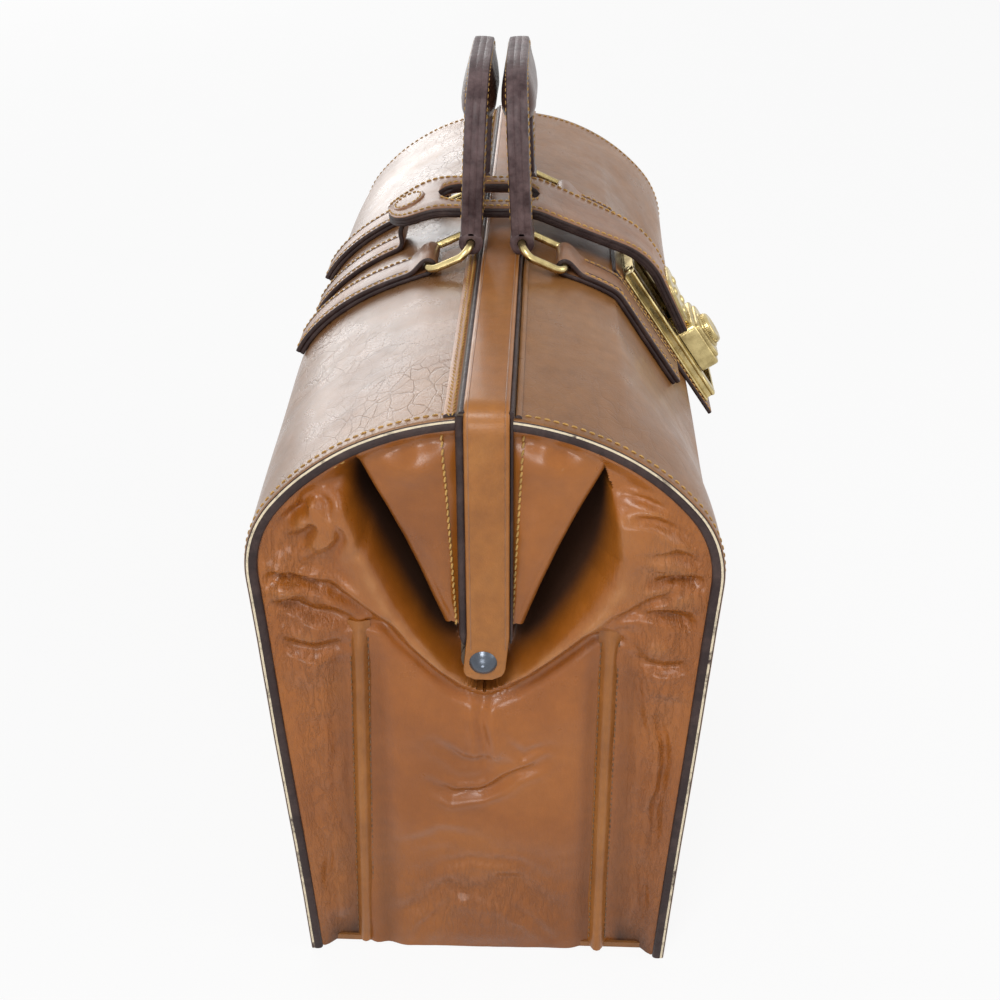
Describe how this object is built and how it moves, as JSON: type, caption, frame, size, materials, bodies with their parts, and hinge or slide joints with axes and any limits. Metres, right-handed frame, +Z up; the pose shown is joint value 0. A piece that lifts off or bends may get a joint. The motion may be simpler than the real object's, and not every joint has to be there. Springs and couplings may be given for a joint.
{
  "type": "briefcase",
  "caption": "Leather frame bag with a hinged mouth, a closing strap with a sliding lock, and arched handles on rings.",
  "frame": {"origin": "centre of the flat base, on the face the bag stands on", "axes": "+X along the bag, -Y to the front with the lock, +Z up"},
  "size_m": [0.4306, 0.207, 0.3671],
  "materials": {
    "panel_leather": "smooth, waxed and worn, with a satin sheen",
    "gusset_leather": "soft, glossy and creased",
    "cover_leather": "smooth satin",
    "edge_leather": "painted edge, dark and rubbed",
    "strap_leather": "smooth, with dark painted edges",
    "handle_leather": "laminated, dark painted edges",
    "lining_cloth": "plain cotton",
    "base_board": "pressed board",
    "frame_steel": "plain",
    "rivet_steel": "dark, domed",
    "brass": "polished and a little tarnished"
  },
  "bodies": {
    "bag_body": {"base_panel": "panel_leather", "base_board": "base_board", "lining_lower": "lining_cloth", "front_panel_lower": "panel_leather", "back_panel_lower": "panel_leather", "front_shoulder": "panel_leather", "back_shoulder": "panel_leather", "left_gusset": "gusset_leather", "right_gusset": "gusset_leather", "front_gusset_folds": "gusset_leather", "back_gusset_folds": "gusset_leather", "gusset_ribs": "gusset_leather", "end_welts_lower": "edge_leather", "end_welts_shoulder": "edge_leather", "hinge_rivets": "rivet_steel", "hinge_spacers": "cover_leather", "front_tab_tails": "strap_leather", "back_tab_tails": "strap_leather", "anchor_tail": "strap_leather", "rail_backing": "strap_leather"},
    "front_half": {"front_panel_upper": "panel_leather", "front_frame": "frame_steel", "frame_cover": "cover_leather", "front_hem": "cover_leather", "front_gusset_flaps": "gusset_leather", "front_tab_left": "strap_leather", "front_tab_right": "strap_leather", "front_welts_upper": "edge_leather", "front_lining_upper": "lining_cloth"},
    "back_half": {"back_panel_upper": "panel_leather", "back_frame": "frame_steel", "back_hem": "cover_leather", "back_gusset_flaps": "gusset_leather", "back_tab_left": "strap_leather", "back_tab_right": "strap_leather", "back_welts_upper": "edge_leather", "back_lining_upper": "lining_cloth", "strap_rear": "strap_leather", "strap_anchor": "strap_leather"},
    "lock_rail": {"lock_rail": "brass", "rail_rivets": "brass"},
    "front_rings": {"front_ring_left": "brass", "front_ring_right": "brass"},
    "front_handle": {"front_handle": "handle_leather", "front_grip": "handle_leather"},
    "back_rings": {"back_ring_left": "brass", "back_ring_right": "brass"},
    "back_handle": {"back_handle": "handle_leather", "back_grip": "handle_leather"},
    "strap_flap": {"strap_flap": "strap_leather", "strap_end_plate": "brass", "strap_end_rivets": "brass", "lock_body": "brass"},
    "lock_button": {"lock_button": "brass"}
  },
  "joints": [
    {"name": "front_open", "type": "hinge", "parent": "bag_body", "child": "front_half", "pos_m": [0, 0, 0.172], "axis": [1, 0, 0], "range_deg": [0, 30], "deforming": ["front_shoulder", "front_gusset_folds", "end_welts_shoulder", "front_tab_tails", "rail_backing"]},
    {"name": "back_open", "type": "hinge", "parent": "bag_body", "child": "back_half", "pos_m": [0, 0, 0.172], "axis": [-1, 0, 0], "range_deg": [0, 30], "deforming": ["back_shoulder", "back_gusset_folds", "back_tab_tails", "anchor_tail"]},
    {"name": "rail_follow", "type": "hinge", "parent": "bag_body", "child": "lock_rail", "pos_m": [0, -0.10453, 0.19522], "axis": [1, 0, 0], "range_deg": [0, 15]},
    {"name": "strap_lift", "type": "hinge", "parent": "back_half", "child": "strap_flap", "pos_m": [0, -0.05099, 0.28226], "axis": [-1, 0, 0], "range_deg": [0, 36]},
    {"name": "lock_press", "type": "slide", "parent": "strap_flap", "child": "lock_button", "axis": [0, 0.8302, -0.5575], "range_m": [0, 0.002], "stiffness_N_per_m": 400, "springref_m": -0.003},
    {"name": "front_ring_turn", "type": "hinge", "parent": "front_half", "child": "front_rings", "pos_m": [0, -0.03111, 0.28048], "axis": [1, 0, 0], "range_deg": [0, 70]},
    {"name": "front_handle_turn", "type": "hinge", "parent": "front_rings", "child": "front_handle", "pos_m": [0, -0.01165, 0.29074], "axis": [1, 0, 0], "range_deg": [0, 45]},
    {"name": "back_ring_turn", "type": "hinge", "parent": "back_half", "child": "back_rings", "pos_m": [0, 0.03111, 0.28048], "axis": [-1, 0, 0], "range_deg": [0, 70]},
    {"name": "back_handle_turn", "type": "hinge", "parent": "back_rings", "child": "back_handle", "pos_m": [0, 0.01165, 0.29074], "axis": [-1, 0, 0], "range_deg": [0, 45]}
  ],
  "couplings": [
    {"joint": "back_open", "follows": "front_open", "ratio": 1},
    {"joint": "rail_follow", "follows": "front_open", "ratio": 0.5},
    {"joint": "strap_lift", "follows": "front_open", "ratio": 1.2}
  ]
}
